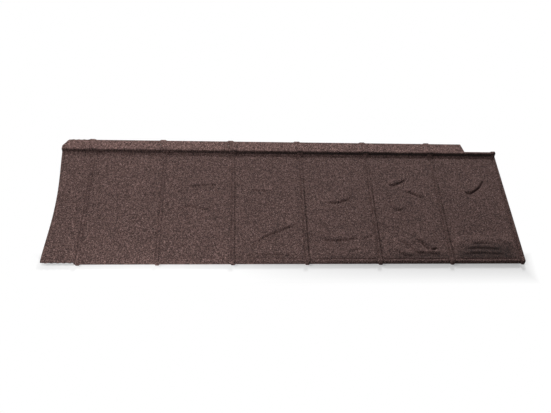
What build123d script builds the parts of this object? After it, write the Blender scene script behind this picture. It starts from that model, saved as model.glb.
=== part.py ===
from build123d import *
import os
from math import asin, atan2, cos, degrees, hypot, sin, tan

# Tile effect metal roofing sheet: one steel panel, pressed with standing ribs and a fluted
# side lap, and coated with stone chips on its weather side. It is drawn with its pan level,
# and laid at the end as it lies on a floor: on the lower edge of its nose and on the foot of
# its back wall. X runs along the sheet, +Y to the back edge, +Z up, millimetres.

# Steel and its stone coat together
skin = 1.6

# Standing ribs, from rib 0 beside the side lap to the end rib on the sheet's right edge.
# The first bay is a little wider than the others.
bays = 6
first_bay = 212.0
rib_pitch = 206.0
rib_base = 13.0
rib_crest = 7.0
rib_height = 3.6
rib_round = 1.8

# The end rib is trimmed on its outer side, where the sheet is cut
end_rib_crest = 2.4
end_rib_side = 5.2

# Side lap to the left of rib 0: narrow flutes, and a cut edge drawn in by the pressing
side_lap = 96.5
flutes = 5
flute_first = 18.5
flute_pitch = 16.0
flute_base = 10.0
flute_crest = 4.0
flute_height = 1.2
flute_round = 3.0
edge_draw_in = 10.6
edge_draw_angle = 0.05

# Section from front to back: nose, pan, back wall, flange
pan_depth = 366.4
nose_lead = 7.5
nose_lean = 2.0
nose_height = 10.8
nose_bend = 4.0
wall_height = 11.3
wall_lean = 3.0
wall_foot_bend = 4.0
wall_head_bend = 2.5
flange_depth = 37.1
flange_fall = 1.5

# Cuts in the outline: the nose is shorter at the side lap, the flange stops short of the
# right edge so that the next sheet can lap there, and its left corner is sloped
lap_nose_trim = 7.0
lap_nose_gap = 10.0
notch_length = 100.0
notch_rim = 6.0
notch_slope = 7.0
corner_run = 18.0
corner_depth = 24.0

# Worked out from the sizes above
rib_lines = [0.0] + [first_bay + i * rib_pitch for i in range(bays)]
left_edge = -side_lap
right_edge = rib_lines[-1] + end_rib_side
nose_foot_y = -nose_lead - nose_lean
nose_bottom = -nose_height
wall_top_y = pan_depth + wall_lean
back_edge = wall_top_y + flange_depth
clear = 2 * (skin + rib_height + nose_height + wall_height)


def wave(x, base, crest, height):
    """Corner points of one rib or flute that stands at x."""
    return [(x - base / 2, 0), (x - crest / 2, height), (x + crest / 2, height), (x + base / 2, 0)]


def rest_tilt():
    """Angle from the level pan to the sheet at rest.

    The inner corner of the nose's lower edge and the round underside of the wall's foot touch
    the floor together. The floor is the tangent from that corner to the round.
    """
    turn = atan2(wall_height, wall_lean)
    slope = atan2(nose_lean, nose_height)
    across = pan_depth - wall_foot_bend * tan(turn / 2) - nose_foot_y - skin * cos(slope)
    up = wall_foot_bend - nose_bottom + skin * sin(slope)
    return atan2(up, across) - asin((wall_foot_bend + skin) / hypot(across, up))


# Corner points of the cross-section, from the left edge to the right edge
flute_points, rib_points = [], []
for i in reversed(range(flutes)):
    flute_points += wave(-flute_first - i * flute_pitch, flute_base, flute_crest, flute_height)
for x in rib_lines:
    rib_points += wave(x, rib_base, rib_crest, rib_height)
rib_points[-2:] = [(rib_lines[-1] + end_rib_crest, rib_height), (right_edge, 0)]
section_points = [(left_edge, 0)] + flute_points + rib_points
section_rounds = [flute_round] * len(flute_points) + [rib_round] * (len(rib_points) - 1)

# Line of the weather side from the lower edge of the nose to the back edge, as (y, z)
with BuildLine(Plane.YZ) as spine:
    FilletPolyline(
        (nose_foot_y, nose_bottom),
        (-nose_lead, 0),
        (pan_depth, 0),
        (wall_top_y, wall_height),
        (back_edge, wall_height - flange_fall),
        radius=[nose_bend, wall_foot_bend, wall_head_bend],
    )

with BuildPart() as roof_tile_sheet:
    # The ribbed cross-section, carried along that line. It starts at the nose's lower edge,
    # square to the nose, where the weather side faces the front.
    start = Plane((0, nose_foot_y, nose_bottom), x_dir=(1, 0, 0), z_dir=(0, nose_lean, nose_height))
    with BuildSketch(start):
        with BuildLine():
            FilletPolyline(*[(x, -height) for x, height in section_points], radius=section_rounds)
            offset(amount=skin, side=Side.LEFT)
        make_face()
    sweep(path=spine.line)

    # Everything cut from above: drawn-in left edge, flange corner, notch at the right end
    with BuildSketch():
        with BuildLine():
            edge = Spline(
                (left_edge, 0),
                (left_edge + edge_draw_in, pan_depth / 2),
                (left_edge, pan_depth),
                tangents=[(edge_draw_angle, 1), (-edge_draw_angle, 1)],
            )
            Polyline(edge @ 1, (left_edge - clear, pan_depth), (left_edge - clear, 0), edge @ 0)
        make_face()
        with BuildLine():
            Polyline(
                (left_edge, back_edge - corner_depth),
                (left_edge + corner_run, back_edge),
                (left_edge + corner_run, back_edge + clear),
                (left_edge - clear, back_edge + clear),
                (left_edge - clear, back_edge - corner_depth),
                close=True,
            )
        make_face()
        with BuildLine():
            Polyline(
                (right_edge - notch_length, wall_top_y + notch_rim),
                (right_edge - notch_length - notch_slope, back_edge),
                (right_edge - notch_length - notch_slope, back_edge + clear),
                (right_edge + clear, back_edge + clear),
                (right_edge + clear, wall_top_y + notch_rim),
                close=True,
            )
        make_face()
    extrude(amount=clear, both=True, mode=Mode.SUBTRACT)

    # The nose's lower edge, cut back beside rib 0
    with BuildSketch(Plane.XY.offset(nose_bottom - clear)):
        with Locations((-lap_nose_gap, nose_foot_y - clear)):
            Rectangle(side_lap + clear, 2 * clear, align=(Align.MAX, Align.MIN))
    extrude(amount=clear + lap_nose_trim, mode=Mode.SUBTRACT)

# Laid on the floor, with the origin under the middle of the sheet
resting = roof_tile_sheet.part.rotate(Axis.X, -degrees(rest_tilt()))
bounds = resting.bounding_box()
sheet = resting.translate((-bounds.center().X, -bounds.center().Y, -bounds.min.Z))
sheet.label = "roof_tile_sheet"

os.makedirs("parts", exist_ok=True)
export_step(sheet, "parts/roof_tile_sheet.step")
print("size", bounds.size, "rest tilt", round(degrees(rest_tilt()), 3))
print("shift", -bounds.center().X, -bounds.center().Y, -bounds.min.Z)
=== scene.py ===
# %% [markdown]
# # A tile effect metal roofing sheet
#
# The real object is one steel panel, pressed so that it looks like six slates side by side, and
# then coated with stone chips. We rebuild its pressed surface as one closed shell, give it its
# coat, and photograph it from above on a white floor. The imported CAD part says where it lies.

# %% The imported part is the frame
from math import atan2, cos, degrees, pi, radians, sin, tan

import bpy
import numpy as np
from mathutils import Matrix, Vector


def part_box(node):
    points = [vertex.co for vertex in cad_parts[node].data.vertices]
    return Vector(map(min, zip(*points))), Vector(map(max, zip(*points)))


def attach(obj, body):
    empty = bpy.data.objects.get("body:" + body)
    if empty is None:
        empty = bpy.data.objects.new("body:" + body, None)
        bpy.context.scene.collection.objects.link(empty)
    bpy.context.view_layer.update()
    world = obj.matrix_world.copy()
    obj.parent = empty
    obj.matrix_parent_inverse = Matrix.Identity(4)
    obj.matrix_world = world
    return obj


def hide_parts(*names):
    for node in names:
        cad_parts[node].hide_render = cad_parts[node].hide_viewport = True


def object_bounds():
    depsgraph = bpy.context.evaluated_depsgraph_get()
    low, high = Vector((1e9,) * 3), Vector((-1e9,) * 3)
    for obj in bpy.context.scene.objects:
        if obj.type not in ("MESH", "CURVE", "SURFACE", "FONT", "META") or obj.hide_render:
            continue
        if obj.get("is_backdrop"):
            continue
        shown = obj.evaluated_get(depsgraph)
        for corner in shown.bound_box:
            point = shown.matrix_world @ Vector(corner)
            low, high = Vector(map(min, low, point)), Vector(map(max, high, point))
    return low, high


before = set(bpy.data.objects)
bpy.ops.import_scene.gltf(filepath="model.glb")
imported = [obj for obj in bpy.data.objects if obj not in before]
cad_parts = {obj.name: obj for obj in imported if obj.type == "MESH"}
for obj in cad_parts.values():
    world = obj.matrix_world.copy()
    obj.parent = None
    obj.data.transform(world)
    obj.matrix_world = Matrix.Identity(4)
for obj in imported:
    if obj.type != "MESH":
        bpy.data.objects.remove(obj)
cad_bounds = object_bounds()
low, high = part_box("roof_tile_sheet")
print("CAD box in millimetres:", [round(1000 * (b - a), 1) for a, b in zip(low, high)])

# %% [markdown]
# ## Real sizes
#
# A presser describes such a sheet with its pan held level: how far apart the ribs stand, how deep
# the pan is, how high the nose and the back wall are. We work in those sizes, in millimetres, and
# lay the sheet on the floor at the end. X runs along the sheet with rib 0 at zero, Y from the
# nose to the back, and Z up from the pan.

# %% Sizes of the sheet, in millimetres
skin = 1.6

# Ribs. The end rib's crest and foot are measured from its middle line, on the trimmed side.
bays = 6
first_bay = 212.0
rib_pitch = 206.0
rib_height = 3.6
end_rib_crest = 2.4
end_rib_foot = 5.2

# Side lap with its flutes, whose foot and crest are measured from their middle line too
side_lap = 96.5
edge_draw_in = 10.6
flutes = 5
flute_first = 18.5
flute_pitch = 16.0
flute_foot = 4.4
flute_crest = 2.4
flute_height = 1.2

# Line of the section: nose, pan, back wall, flange
pan_depth = 366.4
nose_lead = 7.5
nose_lean = 2.0
nose_height = 10.8
nose_bend = 4.0
wall_height = 11.3
wall_lean = 3.0
wall_foot_bend = 4.0
wall_head_bend = 2.5
flange_depth = 37.1
flange_fall = 1.5

# Cuts: the flange's notch on the right and corner on the left, and the nose under the side lap
notch_length = 100.0
notch_rim = 6.0
notch_slope = 7.0
corner_run = 18.0
corner_depth = 24.0
lap_nose_trim = 7.0
lap_nose_gap = 10.0

rib_lines = [0.0] + [first_bay + i * rib_pitch for i in range(bays)]
left_edge = -side_lap
right_edge = rib_lines[-1] + end_rib_foot
wall_top_y = pan_depth + wall_lean
back_edge = wall_top_y + flange_depth
print("sheet in millimetres:", round(right_edge - left_edge, 1), "long, ribs at", rib_lines)

# %% [markdown]
# ## How it lies on the floor
#
# Let go, the sheet rests on the lower edge of its nose and on the round underside of the back
# wall's foot, so the pan slopes down to the back by one and a half degrees. The floor is the line
# from one contact that just touches the other one's circle, which two right-angled triangles give.

# %% Resting tilt, and the move from the level drawing to the frame
wall_turn = atan2(wall_height, wall_lean)
foot_line = wall_foot_bend * tan(wall_turn / 2)
nose_turn = atan2(nose_height, nose_lean)
nose_foot = Vector((0, -nose_lead - nose_lean, -nose_height))
nose_inward = Vector((0, sin(nose_turn), -cos(nose_turn)))
contact = nose_foot + skin * nose_inward
contact_run = pan_depth - foot_line - contact.y
contact_rise = wall_foot_bend - contact.z
contact_reach = np.hypot(contact_run, contact_rise)
tilt = atan2(contact_rise, contact_run) - np.arcsin((wall_foot_bend + skin) / contact_reach)
level_to_rest = Matrix.Rotation(-tilt, 4, "X")
nose_front = level_to_rest @ (nose_foot - rib_height * nose_inward)
resting_z = -(level_to_rest @ contact).z
shift = Vector((low.x * 1000 - left_edge, low.y * 1000 - nose_front.y, resting_z))
print("tilt", round(degrees(tilt), 3), "degrees, shift", [round(v, 2) for v in shift])


def in_frame(level):
    """Millimetres on the level drawing to metres in the frame: turn about X, then shift."""
    turned = np.asarray(level) @ np.array(level_to_rest.to_3x3()).T
    return (turned + np.array(shift)) / 1000


# %% [markdown]
# ## The line of the section
#
# Seen from its end, the sheet is one bent line: up the nose, over a tight bend, back along the
# pan, up the wall, over its head and along the flange. Such a line is easy to say by its heading,
# the angle it runs at: constant on a straight, and turning steadily round a bend. Adding up short
# steps along that heading gives the line.

# %% Stretches of the line: length, and how far it turns over that length
head_turn = wall_turn + atan2(flange_fall, flange_depth)
head_line = wall_head_bend * tan(head_turn / 2)
nose_line = nose_bend * tan(nose_turn / 2)
stretches = [
    (np.hypot(nose_height, nose_lean) - nose_line, 0.0),
    (nose_bend * nose_turn, -nose_turn),
    (nose_lead - nose_line + pan_depth - foot_line, 0.0),
    (wall_foot_bend * wall_turn, wall_turn),
    (np.hypot(wall_height, wall_lean) - foot_line - head_line, 0.0),
    (wall_head_bend * head_turn, -head_turn),
    (np.hypot(flange_depth, flange_fall) - head_line, 0.0),
]
knots = np.concatenate([[0.0], np.cumsum([length for length, turn in stretches])])
headings = np.concatenate([[nose_turn], nose_turn + np.cumsum([turn for length, turn in stretches])])
bend_start, pan_start, pan_end, wall_start, wall_end, flange_start, line_end = knots[1:]
print("line of the section:", round(line_end, 1), "mm from the nose's edge to the back edge")


def section_line(along):
    """Points (y, z) and headings at these distances along the line.

    The heading is read from the knots. Each step is the chord of its bit of line, in the
    direction half-way along it: length times sin(a) / a, for half the turn a. The points are the
    running sums of the steps.
    """
    heading = np.interp(along, knots, headings)
    half_way = (heading[1:] + heading[:-1]) / 2
    step = np.diff(along) * np.sinc(np.diff(heading) / (2 * pi))
    y = nose_foot.y + np.concatenate([[0], np.cumsum(step * np.cos(half_way))])
    z = nose_foot.z + np.concatenate([[0], np.cumsum(step * np.sin(half_way))])
    return y, z, heading


# %% [markdown]
# ## Rows and columns of the grid
#
# The surface is a grid: rows lie along the sheet at chosen distances on the section line, columns
# cross it. They stand closer together where the shape turns, at bends, ribs and flutes, and every
# stretch has an even number of steps, because the underside uses every second one.


# %% Rows and columns
def steps(stops):
    """Even steps through a list of (position, steps up to the next position)."""
    parts = [np.linspace(a, b, n, endpoint=False) for (a, n), (b, _) in zip(stops, stops[1:])]
    return np.concatenate(parts + [[stops[-1][0]]])


trim_row = lap_nose_trim / sin(nose_turn)
rim_row = flange_start + notch_rim - head_line
fronts_end = pan_start + 14
rows = steps([
    (0.0, 4), (trim_row, 2), (bend_start, 6), (pan_start, 14), (fronts_end, 128), (pan_end, 6),
    (wall_start, 4), (wall_end, 4), (flange_start, 2), (rim_row, 8), (line_end, 0),
])

# Columns at a rib and at a flute, as distances from its middle line
rib_reach, flute_reach = 11.8, 5.0
left_of_rib = np.array([-rib_reach, -10.8, -10.0, -7.2, -5.8, -4.6, -3.6, -2.4])
right_of_rib = np.array([2.4, 3.6, 4.6, 5.8, 7.2, 10.6])
right_of_end_rib = np.array([end_rib_crest, 3.8, end_rib_foot])
flute_steps = np.array([-flute_reach, -3.9, -2.6, 0.0, 2.6, 3.9])
flute_lines = [-flute_first - i * flute_pitch for i in reversed(range(flutes))]
notch_x = right_edge - notch_length

column_parts = [steps([(left_edge, 4), (flute_lines[0] - flute_reach, 0)])[:-1]]
for x in flute_lines:
    gap_end = x + flute_pitch - flute_reach if x < flute_lines[-1] else -rib_reach
    column_parts += [x + flute_steps, steps([(x + flute_reach, 2), (gap_end, 0)])[:-1]]
for x, after in zip(rib_lines[:-1], rib_lines[1:]):
    stops = [(x + rib_reach, 50), (after - rib_reach, 0)]
    if after == rib_lines[-1]:
        stops = [(x + rib_reach, 26), (notch_x, 24), (after - rib_reach, 0)]
    column_parts += [x + left_of_rib, x + right_of_rib, steps(stops)[:-1]]
column_parts += [rib_lines[-1] + left_of_rib, rib_lines[-1] + right_of_end_rib]
columns = np.concatenate(column_parts)
print(len(rows), "rows and", len(columns), "columns")

# %% [markdown]
# ## The cut outline
#
# The blank was cut before and after pressing: the left edge is drawn in towards its middle, the
# flange has a sloped corner on the left and stops short on the right, and the nose is shorter
# under the side lap. We slide the columns near a slanting cut so that one of them runs along it,
# and later leave out the cells beyond. That keeps every cut straight, with no teeth.


# %% Columns slid to the cuts
def ramp(share):
    """Smooth rise from 0 at 0 to 1 at 1: three times the square less twice the cube."""
    share = np.clip(share, 0, 1)
    return share * share * (3 - 2 * share)


row_y, row_z, row_heading = section_line(rows)
notch_y = np.interp(rim_row, rows, row_y)

# The bow along the left edge is 4 s (1 - s), for the share s of the pan's depth, and it is mixed
# with its own square, which starts more gently
pan_share = np.clip(row_y / pan_depth, 0, 1)
bow = 4 * pan_share * (1 - pan_share)
drawn_in = edge_draw_in * bow * (0.43 + 0.57 * bow)
corner_cut = corner_run * np.clip((row_y - back_edge + corner_depth) / corner_depth, 0, 1)
slant = notch_slope * np.clip((row_y - notch_y) / (back_edge - notch_y), 0, 1)

# Columns in these strips slide, fully at the cut and not at all at the strip's other end
lap_strip, notch_strip = 36.5, 45.0
lap_share = np.clip(1 - (columns - left_edge) / lap_strip, 0, 1)
notch_share = np.clip(1 - (notch_x - columns) / notch_strip, 0, 1) * (columns <= notch_x)
grid_x = columns + lap_share * (drawn_in + corner_cut)[:, None] - notch_share * slant[:, None]
grid_y = np.broadcast_to(row_y[:, None], grid_x.shape)
print("left edge drawn in by", round(float(drawn_in.max()), 1), "mm")

# %% [markdown]
# ## Ribs and flutes
#
# Standing ribs part the slates, and five low flutes on the side lap lead rain off under the next
# sheet. On the pan a rib is narrow, with steep flanks and a fine groove pressed along each foot.
# On the nose and the flange, where the sheets lap, it grows wider and higher, and on the flange it
# veers to the left. The end rib is cut short on its outer side. Each rib could be a loft of its
# own, joined to the pan. As a height over the sheet, one formula draws all seven at once.


# %% Height of the ribs and flutes
def standing_wave(distance, foot, crest, height):
    """Full height within crest of the middle line, and a smooth flank down to zero at foot."""
    return height * ramp((foot - distance) / (foot - crest))


groove_reach = 2.6


def groove(distance, depth):
    """Depth of a groove along a line, with a smooth flank out to its reach on both sides."""
    return depth * ramp(1 - abs(distance) / groove_reach)


# Shares that turn from 0 on the pan to 1 on the nose, and to 1 on the wall and flange
at_nose = ramp((2 - row_y) / 6)[:, None]
at_flange = ramp((rows - pan_end + 14) / 20)[:, None]


def along_rib(pan, nose, flange):
    """A size of the ribs that has one value on the pan, one on the nose and one on the flange."""
    return pan + (nose - pan) * at_nose + (flange - pan) * at_flange


rib_foot = along_rib(3.6, 6.5, 10.8)
rib_crest = along_rib(2.4, 4.2, 8.0)
rib_rise = along_rib(2.8, rib_height, rib_height)
flange_veer = 8.0
rib_veer = -flange_veer * np.clip((rows - flange_start) / (line_end - flange_start), 0, 1)[:, None]

pressed_height = np.zeros_like(grid_x)
for x in rib_lines:
    pressed_height += standing_wave(abs(grid_x - x - rib_veer), rib_foot, rib_crest, rib_rise)
for x in flute_lines:
    pressed_height += standing_wave(abs(grid_x - x), flute_foot, flute_crest, flute_height)
end_side = standing_wave(grid_x - rib_lines[-1], end_rib_foot, end_rib_crest, rib_rise)
pressed_height = np.where(grid_x > rib_lines[-1], end_side, pressed_height)

# On the flange a rib's foot meets a flute, and together they stay under the rib's height
pressed_height = np.minimum(pressed_height, rib_height)

# Depths of the grooves to the left and right of each rib, and how far from its foot they run.
# They stop short of the sheet's contacts with the floor: the nose's edge and the wall's foot.
rib_grooves = [(2.2, 1.6), (2.4, 0.8), (2.4, 1.8), (2.4, 2.8), (2.6, 3.6), (2.2, 4.0), (3.4, 0.0)]
left_gap, right_gap = 2.6, 0.8
run_out = (ramp((rows - 5) / 6) * ramp((pan_end - 2 - rows) / 40))[:, None]
height = pressed_height.copy()
for x, (left_depth, right_depth) in zip(rib_lines, rib_grooves):
    height -= groove(grid_x - x + rib_foot + left_gap, left_depth * run_out)
    height -= groove(grid_x - x - rib_foot - right_gap, right_depth * run_out)
print("ribs and flutes stand", round(float(height.max()), 1), "mm at most")

# %% [markdown]
# ## Split slate
#
# Between the ribs the die was cut from real slates, so each bay ends in the front of a layer or
# two, and has broken edges, creases and shallow scoops. A broken edge is a line on the pan with a
# small step: the slate is higher behind it and slopes back to the pan, and a groove at its foot
# keeps it crisp under the coat. Sculpting would do it too, but could not be set again by a number.
# We choose a few points on each line, draw a smooth curve through them, and let the step follow
# the signed distance to that curve.


# %% Lines, distances and steps
def smooth_line(points, pieces=6):
    """A curve through given points, as short straight pieces.

    Catmull-Rom: between two points it is the cubic whose slope at each of them is half the way
    from the neighbour before it to the neighbour after it.
    """
    p = np.array(points, float)
    p = np.vstack([2 * p[0] - p[1], p, 2 * p[-1] - p[-2]])
    a, b, c, d = p[:-3], p[1:-2], p[2:-1], p[3:]
    t = np.linspace(0, 1, pieces, endpoint=False)[:, None, None]
    cubic = 2 * b + (c - a) * t + (2 * a - 5 * b + 4 * c - d) * t**2 + (3 * b - a - 3 * c + d) * t**3
    return np.vstack([(cubic / 2).swapaxes(0, 1).reshape(-1, 2), p[-2]])


def distance_to(line, x, y):
    """Signed distance of points to a line of short pieces, and their share of the way along it.

    The foot of a point on a piece is clamped to the piece's ends, and the nearest foot counts.
    The distance is positive on the left of the walking direction, by the cross product's sign.
    """
    start, run = line[:-1], np.diff(line, axis=0)
    length = np.hypot(run[:, 0], run[:, 1])
    dx, dy = x[:, None] - start[:, 0], y[:, None] - start[:, 1]
    share = np.clip((dx * run[:, 0] + dy * run[:, 1]) / length**2, 0, 1)
    away = np.hypot(dx - share * run[:, 0], dy - share * run[:, 1])
    nearest = (np.arange(len(x)), away.argmin(axis=1))
    side = np.sign(run[:, 0] * dy - run[:, 1] * dx)[nearest]
    along = (np.cumsum(length) - length)[nearest[1]] + (share * length)[nearest]
    return side * away[nearest], along / length.sum()


def broken_edge(bay, rise, reach, *points, width=3.0, fade=0.18):
    """Adds a step along a line in a bay, given in millimetres from the rib on the bay's left.

    Height: rise, times a smooth step from 0 to 1 over width behind the line, times a slope back
    to 0 at reach, less a groove half as deep along the step's foot. All of it fades to 0 over the
    line's first and last share.
    """
    line = smooth_line([(rib_lines[bay - 1] + x, y) for x, y in points])
    pad = reach + 2
    near = (grid_x > line[:, 0].min() - pad) & (grid_x < line[:, 0].max() + pad)
    near &= (grid_y > line[:, 1].min() - pad) & (grid_y < line[:, 1].max() + pad)
    behind, along = distance_to(line, grid_x[near], grid_y[near])
    ends = ramp(np.minimum(along, 1 - along) / fade)
    slope = 1 - ramp((behind - width) / reach)
    foot_groove = ramp(1 - abs(behind + 3) / 4)
    height[near] += rise * (ramp(behind / width + 0.5) * slope - 0.5 * foot_groove) * ends


def scoop(bay, depth, left, right, *points, width=14.0):
    """Sinks the front of a bay below a line y = f(x) given by a few points.

    Depth: a smooth step over width in front of the line, times a fade over 20 mm at each end,
    times a rise back to the pan over the last 8 mm before the front lip.
    """
    x = grid_x - rib_lines[bay - 1]
    line = np.interp(x, *zip(*points))
    ends = ramp((x - left) / 20) * ramp((right - x) / 20)
    height[:] -= depth * ramp((line - grid_y) / width) * ends * ramp((grid_y - lip_y) / 8)


def crease(bay, rise, reach, *points):
    """Adds a rounded ridge along a line in a bay, reach wide to each side, faded at its ends."""
    line = smooth_line([(rib_lines[bay - 1] + x, y) for x, y in points])
    near = (grid_x > line[:, 0].min() - reach) & (grid_x < line[:, 0].max() + reach)
    near &= (grid_y > line[:, 1].min() - reach) & (grid_y < line[:, 1].max() + reach)
    away, along = distance_to(line, grid_x[near], grid_y[near])
    height[near] += rise * ramp(1 - abs(away) / reach) * ramp(np.minimum(along, 1 - along) / 0.15)


# %% The front of each bay
lip_y = 1.5


def slate_front(step, rise, reach):
    """Height of a slate's front over the pan.

    A smooth step at the lip, then a straight rise out to reach, then a fall to the pan over
    40 mm, all less a groove 0.7 times as deep as the step along the step's foot.
    """
    behind = grid_y - lip_y
    front = step * ramp(behind / 1.6 + 0.5) + rise * np.clip(behind / reach, 0, 1)
    front -= groove(behind + 0.6, 0.7 * step)
    return front * (1 - ramp((behind - reach) / 40))


# Step, rise and reach of each bay's front, which fades out before the ribs on both sides
bay_fronts = [
    (0.5, 0.0, 20), (0.7, 0.5, 14), (0.9, 1.3, 14), (1.2, 0.4, 14), (1.2, 0.8, 12), (1.2, 2.4, 46),
]
rib_distance = np.min([abs(grid_x - x) for x in rib_lines], axis=0)
beside_ribs = ramp((rib_distance - 8) / 9)
for front_sizes, left, right in zip(bay_fronts, rib_lines, rib_lines[1:]):
    in_bay = (grid_x > left) & (grid_x < right)
    height += np.where(in_bay, slate_front(*front_sizes) * beside_ribs, 0)
print("the slates' fronts are drawn, height now up to", round(float(height.max()), 1), "mm")

# %% Broken edges, bay by bay from the left: the bay, the rise, the reach, and the line's points
broken_edge(1, 1.2, 25, (93, 89), (108, 81), (118, 78), (129, 71))
broken_edge(1, 1.2, 25, (175, 79), (190, 85), (203, 85))

broken_edge(2, 2.6, 35, (66, 266), (71, 256), (77, 246), (86, 243), (109, 247), (139, 250), (166, 246))
broken_edge(2, 1.2, 25, (22, 281), (42, 274))
broken_edge(2, 1.2, 25, (34, 213), (41, 223), (59, 226))
broken_edge(2, 2.8, 30, (39, 157), (56, 165), (76, 175), (96, 172), (119, 165), (131, 165), (141, 180))

broken_edge(3, 3.1, 45, (43, 30), (53, 46), (78, 63), (98, 77), (123, 88), (148, 99), (173, 110),
            (188, 119))
broken_edge(3, 2.3, 35, (50, 238), (58, 231), (80, 230), (103, 228), (108, 235))
broken_edge(3, 1.8, 25, (38, 162), (35, 177), (29, 203), (28, 218))
broken_edge(3, 1.2, 20, (151, 183), (151, 152))
broken_edge(3, 1.8, 14, (18, 12), (60, 15), (110, 14), (168, 12))

broken_edge(4, 3.1, 60, (59, 196), (67, 191), (87, 188), (110, 191), (130, 198), (140, 208),
            (149, 243), (142, 269))
broken_edge(4, 3.1, 45, (42, 152), (47, 112), (44, 86), (50, 67), (58, 62), (87, 60), (117, 63),
            (147, 68), (160, 73))
broken_edge(4, 1.8, 25, (160, 65), (182, 73), (194, 78))
broken_edge(4, 2.1, 20, (127, 27), (142, 33), (157, 30))
broken_edge(4, 1.8, 15, (22, 150), (30, 157), (37, 162))

broken_edge(5, 3.5, 40, (53, 274), (57, 264), (62, 256), (69, 252), (81, 257), (101, 266), (118, 280))
broken_edge(5, 3.5, 35, (106, 228), (114, 229), (122, 226), (139, 216), (156, 206))
broken_edge(5, 3.1, 40, (46, 238), (52, 208), (58, 179), (63, 170), (69, 165), (78, 163),
            (93, 170), (101, 175))
broken_edge(5, 2.8, 30, (64, 68), (69, 59), (76, 51), (83, 46), (91, 43), (98, 46), (111, 66))
broken_edge(5, 4.9, 45, (111, 73), (126, 56), (141, 37), (149, 31), (161, 33), (173, 38))
broken_edge(5, 2.8, 20, (42, 35), (56, 22), (64, 18), (76, 15))
broken_edge(5, 2.1, 25, (16, 76), (22, 54), (26, 49))
broken_edge(5, 1.8, 18, (31, 43), (37, 51), (44, 59))
broken_edge(5, 1.9, 15, (14, 137), (18, 119), (22, 101))
broken_edge(5, 2.3, 15, (16, 46), (24, 25), (31, 18))
broken_edge(5, 2.4, 12, (104, 19), (125, 21), (150, 19), (176, 15))
broken_edge(5, 2.1, 12, (66, 11), (80, 12), (93, 10))
broken_edge(5, 3.0, 14, (84, 40), (95, 33), (108, 22), (118, 12))
broken_edge(5, 3.0, 14, (128, 56), (134, 42), (140, 30), (147, 20))
crease(5, 1.6, 7, (161, 106), (169, 94), (179, 81), (186, 66), (186, 41), (188, 10))

broken_edge(6, 4.9, 45, (83, 241), (86, 233), (92, 227), (100, 225), (108, 229), (125, 241),
            (133, 249), (155, 279))
broken_edge(6, 2.2, 12, (40, 31), (80, 35), (120, 33), (150, 28))
broken_edge(6, 2.2, 12, (60, 46), (95, 51), (130, 47))
broken_edge(6, 2.0, 10, (30, 15), (70, 19), (110, 18), (160, 14))
crease(6, 2.0, 9, (15, 41), (30, 53), (80, 63), (155, 61), (185, 41))
print("broken edges drawn, height", [round(float(v), 1) for v in (height.min(), height.max())], "mm")

# %% Shallow scoops: the bay, the depth, the left and right ends, and the line's points
scoop(2, 0.9, 20, 180, (20, 40), (80, 52), (180, 45))
scoop(5, 1.2, 90, 190, (90, 20), (190, 24))

# %% [markdown]
# ## Room for the relief
#
# A press has a highest and a lowest point too. The front stands highest over the floor, so no
# slate there may pass the flange's own ribs, and towards the back no groove may be deeper than the
# gap between the pan and the floor. The underside will have coarser cells than the weather side,
# so it keeps to the lowest point within two steps and never comes through.

# %% Highest and lowest relief, and the underside's
floor_gap = np.maximum(pan_depth - foot_line - grid_y, 0) * tan(tilt)
on_pan = (grid_y > 0) & (grid_y < pan_depth - foot_line)
highest = np.where(on_pan, 5.1 + 0.02 * grid_y, np.inf)
lowest = np.where(on_pan, -0.9 * floor_gap, -np.inf)
height = np.clip(height, lowest, highest)

row_count, column_count = height.shape
relief = np.pad(height - pressed_height, 2, mode="edge")
shifted = [relief[i:i + row_count, j:j + column_count] for i in range(5) for j in range(5)]
lower_height = np.maximum(pressed_height + np.min(shifted, axis=0), lowest)
print("relief from", round(float(height.min()), 1), "to", round(float(height.max()), 1), "mm")

# %% [markdown]
# ## One closed shell
#
# A sheet that can be looked at from below needs a weather side, an underside and the narrow cut
# edge between them. Solidify could make the second side, but it would double the cells, and the
# underside shows less. So the underside takes every second row and column, and along the cuts
# five-sided cells join two steps above to one below. A map of blocks, two steps by two, says
# where the sheet is left.

# %% Points of both sides
def side_points(lift, every):
    """Points of every so many rows and columns, moved off the line along its normal by the lift.

    The normal of a line with heading a is (-sin a, cos a).
    """
    y = row_y[:, None] - lift * np.sin(row_heading)[:, None]
    z = row_z[:, None] + lift * np.cos(row_heading)[:, None]
    return in_frame(np.stack([grid_x, y, z], axis=-1)[::every, ::every].reshape(-1, 3))


weather_side = side_points(height, 1)
underside = side_points(lower_height - skin, 2)
blocks_up, blocks_along = row_count // 2, column_count // 2
present = np.ones((blocks_up, blocks_along), bool)
trim_block, rim_block = np.searchsorted(rows, [trim_row, rim_row]) // 2
gap_block, notch_block = np.searchsorted(columns, [-lap_nose_gap, notch_x]) // 2
present[:trim_block, :gap_block] = False
present[rim_block:, notch_block:] = False
print(present.size - present.sum(), "of", present.size, "blocks are cut away")


# %% Cells of both sides and of the cut edge
def top(i, j):
    """Number of the weather side's point in row i, column j."""
    return i * column_count + j


def below(i, j):
    """Number of the underside's point under the weather side's row 2i, column 2j."""
    return row_count * column_count + i * (blocks_along + 1) + j


r, c = np.nonzero(present)
cells = []
for i, j in ((0, 0), (0, 1), (1, 0), (1, 1)):
    row, column = 2 * r + i, 2 * c + j
    corners = [top(row, column), top(row, column + 1), top(row + 1, column + 1), top(row + 1, column)]
    cells.append(np.stack(corners, axis=1))
cells = np.concatenate(cells)
under = np.stack([below(r, c), below(r + 1, c), below(r + 1, c + 1), below(r, c + 1)], axis=1)

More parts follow.
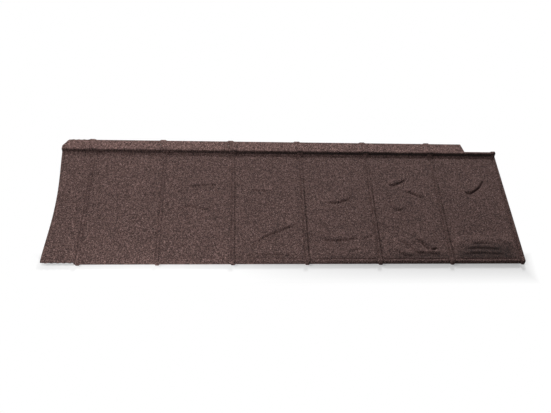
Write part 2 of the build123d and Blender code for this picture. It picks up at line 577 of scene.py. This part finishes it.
# Front, back, left and right cuts: the blocks that end there, three points above, two below
padded = np.pad(present, 1)
cuts = [
    (padded[:-2, 1:-1], ((0, 2), (0, 1), (0, 0)), ((0, 0), (0, 1))),
    (padded[2:, 1:-1], ((2, 0), (2, 1), (2, 2)), ((1, 1), (1, 0))),
    (padded[1:-1, :-2], ((0, 0), (1, 0), (2, 0)), ((1, 0), (0, 0))),
    (padded[1:-1, 2:], ((2, 2), (1, 2), (0, 2)), ((0, 1), (1, 1))),
]
edge_cells = []
for neighbour, above_steps, below_steps in cuts:
    r, c = np.nonzero(present & ~neighbour)
    corners = [top(2 * r + i, 2 * c + j) for i, j in above_steps]
    corners += [below(r + i, c + j) for i, j in below_steps]
    edge_cells.append(np.stack(corners, axis=1))
edge_cells = np.concatenate(edge_cells)
triangles = 2 * len(cells) + 2 * len(under) + 3 * len(edge_cells)
print(len(cells), "cells above,", len(under), "below,", len(edge_cells), "on the edge")
print(triangles, "triangles")

# %% The sheet's mesh
points = np.concatenate([weather_side, underside])
all_cells = np.concatenate([part.ravel() for part in (cells, under, edge_cells)])
used, cell_numbers = np.unique(all_cells, return_inverse=True)
quads = cell_numbers[: 4 * (len(cells) + len(under))].reshape(-1, 4)
fives = cell_numbers[4 * (len(cells) + len(under)):].reshape(-1, 5)
mesh = bpy.data.meshes.new("stone_coated_sheet")
mesh.from_pydata(points[used].tolist(), [], quads.tolist() + fives.tolist())
mesh.validate()
side = np.repeat([0, 1, 2], [len(cells), len(under), len(edge_cells)])
mesh.polygons.foreach_set("material_index", side.astype(np.int32))
mesh.polygons.foreach_set("use_smooth", np.ones(len(side), bool))
mesh.set_sharp_from_angle(angle=radians(65))
sheet = bpy.data.objects.new("stone_coated_sheet", mesh)
bpy.context.scene.collection.objects.link(sheet)
spans = 1000 * np.ptp(points[used], axis=0)
print("sheet spans", [round(float(span), 2) for span in spans], "mm")

# %% [markdown]
# ## Sums of shader sockets
#
# Materials here are sums: a share of one pattern times a share of another. A small class wraps a
# socket, so that `1 - mask` or `a * b` adds the Math node that it says. Every other node comes
# from one method, which takes the node's settings first and then what goes into its sockets.


# %% A socket that takes part in sums
class Wire:
    """One output of a shader node."""

    def __init__(self, tree, socket=None):
        self.tree = tree
        self.socket = socket

    def add(self, kind, settings, inputs, output=0):
        """A new node of that kind, with its settings, its inputs as values or wires, and one output."""
        node = self.tree.nodes.new(kind)
        for name, value in settings.items():
            if name == "stops":
                self.set_stops(node.color_ramp, value)
            else:
                setattr(node, name, value)
        for name, value in inputs.items():
            if isinstance(value, Wire):
                self.tree.links.new(value.socket, node.inputs[name])
            else:
                node.inputs[name].default_value = value
        return Wire(self.tree, node.outputs[output])

    @staticmethod
    def set_stops(colour_ramp, stops):
        """Colours at places along a ramp. A new ramp has two stops already."""
        while len(colour_ramp.elements) < len(stops):
            colour_ramp.elements.new(0.5)
        for element, (position, colour) in zip(colour_ramp.elements, stops):
            element.position = position
            element.color = (*colour, 1)

    def math(self, operation, *values):
        """A Math node with these values or wires as its inputs."""
        return self.add("ShaderNodeMath", {"operation": operation}, dict(enumerate(values)))

    def __add__(self, other):
        return self.math("ADD", self, other)

    def __sub__(self, other):
        return self.math("SUBTRACT", self, other)

    def __mul__(self, other):
        return self.math("MULTIPLY", self, other)

    def __rsub__(self, other):
        return self.math("SUBTRACT", other, self)

    def __abs__(self):
        return self.math("ABSOLUTE", self)

    __radd__ = __add__
    __rmul__ = __mul__

    def larger(self, other):
        """The larger of two values."""
        return self.math("MAXIMUM", self, other)

    def spread(self, low, high):
        """0 at low, 1 at high, straight between them and clamped outside."""
        settings = {"clamp": True}
        return self.add("ShaderNodeMapRange", settings, {"Value": self, "From Min": low, "From Max": high})


def new_material(name):
    """A material with an empty tree but for its output, as (material, wire to start from, output)."""
    material = bpy.data.materials.new(name)
    material.use_nodes = True
    material.node_tree.nodes.clear()
    output = material.node_tree.nodes.new("ShaderNodeOutputMaterial")
    return material, Wire(material.node_tree), output


def place(start):
    """Object coordinates in metres, which are the frame's own, because the mesh is in place."""
    return start.add("ShaderNodeTexCoord", {}, {}, "Object")


def part_of(vector, name):
    """One of the numbers X, Y or Z of a vector."""
    return vector.add("ShaderNodeSeparateXYZ", {}, {"Vector": vector}, name)


def one_per_cell(where, cells_per_metre, name):
    """A random number that stays the same over each Voronoi cell: Red, Green or Blue of its colour."""
    cell = where.add("ShaderNodeTexVoronoi", {}, {"Vector": where, "Scale": cells_per_metre}, "Color")
    return where.add("ShaderNodeSeparateColor", {}, {"Color": cell}, name)


def finish_material(start, output, inputs):
    """Joins a Principled shader with these inputs to the output."""
    shader = start.add("ShaderNodeBsdfPrincipled", {}, inputs)
    start.tree.links.new(shader.socket, output.inputs["Surface"])


# %% [markdown]
# ## Stone chip coat
#
# The weather side is bedded with crushed stone of one to two millimetres in brown, maroon, near
# black and a few pale grains, under a matt clear binder. Paint on a plain colour would look dead.
# Voronoi cells give every chip a colour of its own, cells of another size make some chips lie
# deeper and darker, and the distance inside each cell gives the grain its bump. On top of that
# comes painted light and shade: painted shade in the hollows behind the fronts, a painted shadow
# line along the wall's foot, and a flange painted paler for the light it catches.

# %% Tones of the coat
chip_tones = [
    (0.0, (0.020, 0.011, 0.010)),
    (0.25, (0.060, 0.033, 0.029)),
    (0.5, (0.112, 0.066, 0.060)),
    (0.8, (0.180, 0.109, 0.098)),
    (1.0, (0.300, 0.195, 0.175)),
]

# Painted shade in the hollows: bay, middle from the rib on its left, half of its width, its depth, and
# darkening
painted_hollow_shade = [
    (2, 100, 70, 44, 0.08), (3, 95, 90, 14, 0.16), (4, 100, 95, 16, 0.22), (5, 120, 85, 24, 0.36),
    (6, 105, 96, 56, 0.55),
]


def painted_shade_and_light(where, cloud):
    """Share of light that the painted shade and painted light leave: a product of one factor for each.

    A hollow's painted shade is half an ellipse behind the lip, dark inside and ragged by the cloud
    at its rim. The painted shadow line at the wall's foot is darker to the right, and the flange is
    painted half as light again as the pan, for the light it catches.
    """
    x, y = part_of(where, "X"), part_of(where, "Y")
    lip = float(in_frame((0, lip_y, 0))[1])
    wall = float(in_frame((0, pan_depth, 0))[1])
    head = float(in_frame((0, wall_top_y, wall_height))[1])
    # Painted light: the flange is half as light again as the pan, for the light it catches
    tone = y.spread(head, head + 0.004) * 0.5 + 1
    # Painted shadow line along the wall's foot, darker towards the right
    wall_foot_shadow = y.spread(wall - 0.001, wall) * (1 - y.spread(wall + 0.002, wall + 0.003))
    tone = tone * (1 - wall_foot_shadow * (x.spread(-0.35, 0.1) * 0.45 + 0.3))
    behind_lip = y.spread(lip, lip + 0.003)
    # Painted shade in each bay's hollow behind the lip, deeper in the right bays
    for bay, middle, half_width, depth, share in painted_hollow_shade:
        centre = in_frame((rib_lines[bay - 1] + middle, 0, 0))
        across = (x - float(centre[0])) * (1000 / half_width)
        back = (y - float(centre[1])) * (1000 / depth)
        inside = 1 - (across * across + back * back + cloud * 0.5).spread(0.7, 1.4)
        tone = tone * (1 - inside * behind_lip * share)
    return tone


# %% The coat
def stone_chip_coat():
    """Chips of their own tone, times the bed they lie in, times the painted shade and painted light."""
    material, start, output = new_material("stone_chip_coat")
    where = place(start)
    chips_per_metre, beds_per_metre = 600.0, 480.0
    chip = one_per_cell(where, chips_per_metre, "Red")
    bed = one_per_cell(where, beds_per_metre, "Green")
    cloud = start.add("ShaderNodeTexNoise", {}, {"Vector": where, "Scale": 14.0, "Detail": 2.0})
    cloud = cloud.spread(0.3, 0.7)
    # The chips' tone, times the bed and the cloud, times the painted shade and painted light
    light = (bed * 1.25 + cloud * 0.12 + 0.3) * painted_shade_and_light(where, cloud)
    shade = start.add("ShaderNodeCombineColor", {}, {"Red": light, "Green": light, "Blue": light})
    chip_colour = start.add("ShaderNodeValToRGB", {"stops": chip_tones}, {"Fac": chip})
    multiply = {"data_type": "RGBA", "blend_type": "MULTIPLY"}
    colour = start.add("ShaderNodeMix", multiply, {0: 1.0, 6: chip_colour, 7: shade}, 2)
    from_middle = start.add(
        "ShaderNodeTexVoronoi", {}, {"Vector": where, "Scale": chips_per_metre}, "Distance",
    )
    grain = 1 - from_middle * 1.2
    bump = start.add("ShaderNodeBump", {}, {"Height": grain, "Strength": 0.85, "Distance": 0.0008})
    finish_material(start, output, {
        "Base Color": colour, "Roughness": chip * 0.15 + 0.78, "Normal": bump,
        "Specular IOR Level": 0.25,
    })
    return material


mesh.materials.append(stone_chip_coat())
print("weather side:", mesh.materials[0].name)

# %% [markdown]
# ## Underside and cut edge
#
# Below, the steel shows its zinc and aluminium layer under a thin clear primer: a pale satin
# grey with a faint spangle. On the cut edge the steel is a bright hairline half hidden by the
# coat's own edge.


# %% Primed steel and cut edge
def primed_steel():
    """Pale grey, with a spangle of 8 mm and slow stains that mix two greys."""
    material, start, output = new_material("primed_steel")
    where = place(start)
    spangle = one_per_cell(where, 120.0, "Green")
    stain = start.add("ShaderNodeTexNoise", {}, {"Vector": where, "Scale": 9.0, "Detail": 4.0})
    stops = [(0.0, (0.23, 0.24, 0.235)), (1.0, (0.34, 0.35, 0.345))]
    shade = spangle * 0.35 + stain.spread(0.3, 0.7) * 0.65
    colour = start.add("ShaderNodeValToRGB", {"stops": stops}, {"Fac": shade})
    bump = start.add("ShaderNodeBump", {}, {"Height": stain, "Strength": 0.15, "Distance": 0.0005})
    finish_material(start, output, {
        "Base Color": colour, "Roughness": spangle * 0.12 + 0.42, "Normal": bump, "Metallic": 0.55,
    })
    return material


def cut_edge():
    """Brown coat with specks of bare steel."""
    material, start, output = new_material("cut_edge")
    where = place(start)
    speck = start.add("ShaderNodeTexNoise", {}, {"Vector": where, "Scale": 700.0, "Detail": 2.0})
    steel = speck.spread(0.55, 0.62)
    stops = [(0.0, (0.075, 0.050, 0.045)), (1.0, (0.20, 0.19, 0.18))]
    colour = start.add("ShaderNodeValToRGB", {"stops": stops}, {"Fac": steel})
    finish_material(start, output, {
        "Base Color": colour, "Metallic": steel * 0.8, "Roughness": 0.75 - steel * 0.3,
    })
    return material


mesh.materials.append(primed_steel())
mesh.materials.append(cut_edge())
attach(sheet, "root")
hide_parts("roof_tile_sheet")
print("materials:", [m.name for m in mesh.materials])

# %% [markdown]
# ## Floor and light
#
# The photograph is a product shot on plain white. Round the sheet's front the floor takes a soft
# shadow, and further out it glows plain white, so that no lamp leaves a bright patch. To light
# that bounces between surfaces it is dark grey, so it sends little up under the nose.
#
# The main light is small and stands low behind the sheet on the right, so that every rib and
# broken edge drops a narrow shadow to the front and left. A second one, high on the left, fills
# the left bays. Two small ones hang just before the left half's front, and light its nose.


# %% White floor
def seen_directly(start):
    """1 for what the camera sees itself, in a mirror or through glass, and 0 for bounced light."""
    rays = [start.add("ShaderNodeLightPath", {}, {}, name)
            for name in ("Is Camera Ray", "Is Glossy Ray", "Is Transmission Ray")]
    return (rays[0] + rays[1] + rays[2]).spread(0, 1)


def white_floor():
    """Dark for bounced light. For the camera, a pale ground near the front and a glow elsewhere.

    The glow's share is the largest of three: behind the front edge, beside the sheet's ends, and
    before its front, each a straight rise over a few centimetres.
    """
    material, start, output = new_material("white_floor")
    white = (1, 1, 1, 1)
    dark = start.add("ShaderNodeBsdfDiffuse", {}, {"Color": (0.15, 0.15, 0.15, 1)})
    pale = start.add("ShaderNodeBsdfDiffuse", {}, {"Color": (0.8, 0.8, 0.8, 1)})
    faint_glow = start.add("ShaderNodeEmission", {}, {"Color": white, "Strength": 0.3})
    near = start.add("ShaderNodeAddShader", {}, {0: pale, 1: faint_glow})
    far = start.add("ShaderNodeEmission", {}, {"Color": white, "Strength": 1.0})
    where = place(start)
    x, y = part_of(where, "X"), part_of(where, "Y")
    behind = y.spread(low.y + 0.01, low.y + 0.04)
    beside = (abs(x) - high.x).spread(-0.02, 0.03)
    before = (abs(y) - high.y).spread(0.0, 0.06)
    glow_share = behind.larger(beside.larger(before))
    to_camera = start.add("ShaderNodeMixShader", {}, {0: glow_share, 1: near, 2: far})
    ground = start.add("ShaderNodeMixShader", {}, {0: seen_directly(start), 1: dark, 2: to_camera})
    start.tree.links.new(ground.socket, output.inputs["Surface"])
    return material


floor_half = 4.0
corners = [(floor_half * x, floor_half * y, 0) for x, y in ((-1, -1), (1, -1), (1, 1), (-1, 1))]
floor_mesh = bpy.data.meshes.new("floor")
floor_mesh.from_pydata(corners, [], [(0, 1, 2, 3)])
floor_mesh.materials.append(white_floor())
floor = bpy.data.objects.new("floor", floor_mesh)
bpy.context.scene.collection.objects.link(floor)
floor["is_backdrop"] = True
print("floor", 2 * floor_half, "m square")

# %% Sky and lamps
sky_level = 0.02
world = bpy.data.worlds.new("studio")
bpy.context.scene.world = world
world.use_nodes = True
world.node_tree.nodes.clear()
sky_output = world.node_tree.nodes.new("ShaderNodeOutputWorld")
sky = Wire(world.node_tree)
background = sky.add("ShaderNodeBackground", {}, {
    "Color": (1, 1, 1, 1), "Strength": seen_directly(sky) * (1 - sky_level) + sky_level,
})
world.node_tree.links.new(background.socket, sky_output.inputs["Surface"])


def soft_lamp(name, at, towards, width, depth, watts):
    """A rectangular area light at a point, turned to face another point."""
    lamp = bpy.data.lights.new(name, "AREA")
    lamp.shape = "RECTANGLE"
    lamp.size, lamp.size_y, lamp.energy = width, depth, watts
    holder = bpy.data.objects.new(name, lamp)
    holder.location = at
    holder.rotation_euler = (Vector(towards) - Vector(at)).to_track_quat("-Z", "Y").to_euler()
    bpy.context.scene.collection.objects.link(holder)
    print(name, "at", at, "with", watts, "W")


soft_lamp("rear_light", (0.8, 2.5, 1.6), (0, 0, 0), 0.4, 0.4, 56)
soft_lamp("left_light", (-1.2, 0.4, 1.6), (0, 0, 0), 0.45, 0.45, 14.5)
soft_lamp("low_front_light", (-0.32, -0.68, 0.19), (-0.33, -0.72, -0.2), 0.3, 0.3, 6.4)
soft_lamp("low_left_light", (-0.6, -0.7, 0.25), (-0.6, -0.7, -0.2), 0.3, 0.3, 1.6)

# %% [markdown]
# ## The camera
#
# Ribs, nose and flange in the photograph fit one camera: a standing person's, looking down at
# the sheet from in front and a little to the left, with the horizon not quite level. Its place
# and angles are given in the level drawing, so they take the same tilt and shift as the sheet.

# %% Camera, from the level drawing
camera_place = (414.2, -754.2, 1428.4)
camera_yaw, camera_pitch, camera_roll = radians(7.785), radians(56.761), radians(6.795)
picture_width, focal_pixels = 551, 585.62

yaw_line = Vector((sin(camera_yaw), cos(camera_yaw), 0))
ahead_line = yaw_line * cos(camera_pitch) - Vector((0, 0, sin(camera_pitch)))
level_right = Vector((cos(camera_yaw), -sin(camera_yaw), 0))
level_up = level_right.cross(ahead_line)
camera_right = level_right * cos(camera_roll) + level_up * sin(camera_roll)
camera_up = level_up * cos(camera_roll) - level_right * sin(camera_roll)
turn = Matrix((camera_right, camera_up, -ahead_line)).transposed().to_4x4()
camera_data = bpy.data.cameras.new("camera")
camera_data.sensor_width = 36.0
camera_data.lens = camera_data.sensor_width * focal_pixels / picture_width
camera_data.clip_end = 50
camera = bpy.data.objects.new("camera", camera_data)
camera.matrix_world = Matrix.Translation(in_frame(camera_place)) @ level_to_rest @ turn
bpy.context.scene.collection.objects.link(camera)
bpy.context.scene.camera = camera
bpy.context.scene.view_settings.view_transform = "Standard"
print("camera", [round(v, 3) for v in camera.location], "lens", round(camera_data.lens, 2), "mm")

# %% [markdown]
# ## Sizes
#
# The box of the CAD part and that of everything drawn, in millimetres, are printed at the end.

# %% Sizes, and the end
boxes = {"cad": [list(v) for v in cad_bounds], "visual": [list(v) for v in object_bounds()]}
print({name: [round(1000 * (b - a), 2) for a, b in zip(*box)] for name, box in boxes.items()})
